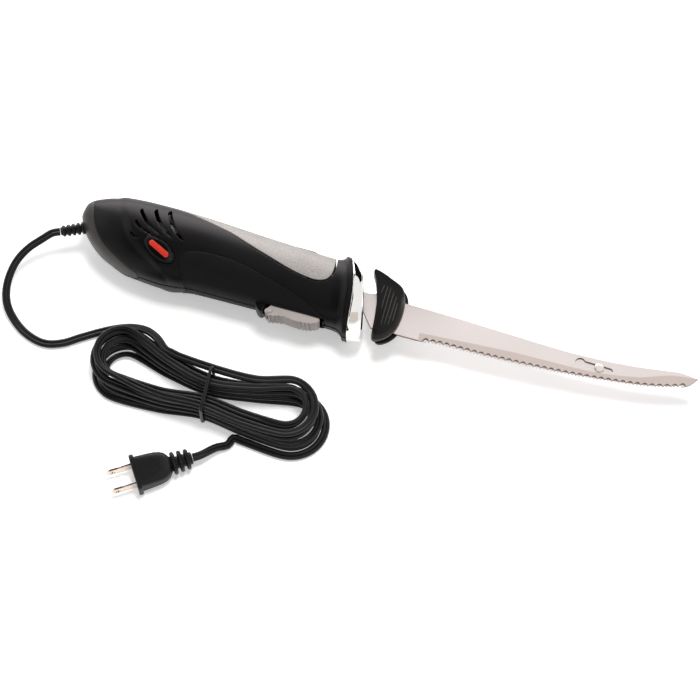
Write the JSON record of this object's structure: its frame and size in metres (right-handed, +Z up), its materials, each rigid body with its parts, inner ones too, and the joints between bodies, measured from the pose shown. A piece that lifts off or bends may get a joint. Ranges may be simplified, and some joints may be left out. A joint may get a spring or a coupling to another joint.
{
  "type": "electric fillet knife",
  "caption": "Mains-powered fillet knife: black handle with silver top panel, chrome collar, trigger, thumb guards, twin serrated reciprocating blades and a tied hank of flat cord with a plug.",
  "frame": {"origin": "on the collar's flat side land, where the knife lies on its left side, in line with the blades' mid plane across the handle's axis", "axes": "+X along the knife to the blade tip, +Y from the trigger to the spine, +Z up from the surface it lies on, towards the knife's right side"},
  "size_m": [0.435, 0.1878, 0.046],
  "materials": {
    "housing_black": "matte black ABS",
    "soft_grip": "fine-grained overmoulded rubber",
    "badge_black": "glossy domed badge",
    "cap_grey": "warm dark grey, satin",
    "silver_panel": "silver metallic finish",
    "chrome": "mirror chrome",
    "trigger_grey": "warm metallic grey",
    "button_black": "matte black",
    "blade_steel": "satin ground steel",
    "tool_steel": "bright steel",
    "core_steel": "laminated steel",
    "copper": "enamelled copper",
    "carbon": "pressed carbon",
    "natural_nylon": "natural nylon",
    "black_nylon": "black nylon",
    "cord_black": "black flexible PVC",
    "prong_nickel": "nickel plated",
    "wire_insulation": "insulated lead"
  },
  "bodies": {
    "handle": {"right_housing": "housing_black", "left_housing": "housing_black", "rear_cap": "cap_grey", "top_panel": "silver_panel", "right_grip": "soft_grip", "left_grip": "soft_grip", "right_badge": "badge_black", "left_badge": "badge_black", "chrome_ring": "chrome", "nose_plate": "black_nylon", "trigger_pin": "trigger_grey", "trigger_spring": "tool_steel", "power_switch": "black_nylon", "release_spring": "tool_steel", "housing_screw_1": "tool_steel", "housing_screw_2": "tool_steel", "housing_screw_3": "tool_steel", "housing_screw_4": "tool_steel", "stator_core": "core_steel", "upper_field_coil": "copper", "lower_field_coil": "copper", "front_bearing": "tool_steel", "rear_bearing": "tool_steel", "upper_brush_holder": "black_nylon", "lower_brush_holder": "black_nylon", "upper_brush": "carbon", "lower_brush": "carbon", "wheel_axle": "tool_steel", "slide_guide": "black_nylon", "live_wire": "wire_insulation", "neutral_wire": "wire_insulation", "strain_relief": "cord_black", "cord_lead": "cord_black", "cord_hank": "cord_black", "cord_tail": "cord_black", "cord_tie": "cord_black", "plug_body": "cord_black", "plug_prong_1": "prong_nickel", "plug_prong_2": "prong_nickel"},
    "rotor": {"motor_shaft": "tool_steel", "rotor_core": "core_steel", "front_winding": "copper", "rear_winding": "copper", "commutator": "copper", "fan": "natural_nylon", "worm": "tool_steel"},
    "wheel": {"crank_wheel": "natural_nylon"},
    "right_drive": {"right_driver": "natural_nylon"},
    "left_drive": {"left_driver": "natural_nylon"},
    "right_cutter": {"right_blade": "blade_steel", "right_guard": "button_black"},
    "left_cutter": {"left_blade": "blade_steel", "left_guard": "button_black", "blade_rivet": "blade_steel"},
    "trigger": {"trigger": "trigger_grey"},
    "plunger": {"switch_plunger": "trigger_grey"},
    "button": {"release_button": "button_black"}
  },
  "joints": [
    {"name": "rotor_spin", "type": "hinge", "parent": "handle", "child": "rotor", "pos_m": [-0.13, -0.005, 0.023], "axis": [1, 0, 0], "range_deg": [-1441, 1441]},
    {"name": "wheel_turn", "type": "hinge", "parent": "handle", "child": "wheel", "pos_m": [-0.062, 0.007, 0.023], "axis": [0, 0, 1], "range_deg": [-60.2, 60.2]},
    {"name": "right_stroke", "type": "slide", "parent": "handle", "child": "right_drive", "axis": [1, 0, 0], "range_m": [-0.003, 0.003]},
    {"name": "left_stroke", "type": "slide", "parent": "handle", "child": "left_drive", "axis": [1, 0, 0], "range_m": [-0.00302, 0.00302]},
    {"name": "right_eject", "type": "slide", "parent": "right_drive", "child": "right_cutter", "axis": [1, 0, 0], "range_m": [0, 0.04]},
    {"name": "left_eject", "type": "slide", "parent": "left_drive", "child": "left_cutter", "axis": [1, 0, 0], "range_m": [0, 0.04]},
    {"name": "trigger_pull", "type": "hinge", "parent": "handle", "child": "trigger", "pos_m": [-0.0455, -0.0257, 0.023], "axis": [0, 0, 1], "range_deg": [0, 6], "stiffness_Nm_per_rad": 0.8, "springref_deg": -5.73, "deforming": ["trigger_spring"]},
    {"name": "plunger_slide", "type": "slide", "parent": "handle", "child": "plunger", "axis": [0, 1, 0], "range_m": [0, 0.0013]},
    {"name": "release_press", "type": "slide", "parent": "handle", "child": "button", "axis": [0, -1, 0], "range_m": [0, 0.0018], "stiffness_N_per_m": 900, "springref_m": -0.0015, "deforming": ["release_spring"]}
  ],
  "couplings": [
    {"joint": "rotor_spin", "follows": "right_stroke", "rad_per_m": 8377.6},
    {"joint": "wheel_turn", "follows": "right_stroke", "rad_per_m": -349.07},
    {"joint": "left_stroke", "follows": "right_stroke", "ratio": -1},
    {"joint": "left_eject", "follows": "right_eject", "ratio": 1},
    {"joint": "plunger_slide", "follows": "trigger_pull", "m_per_rad": 0.0121}
  ]
}
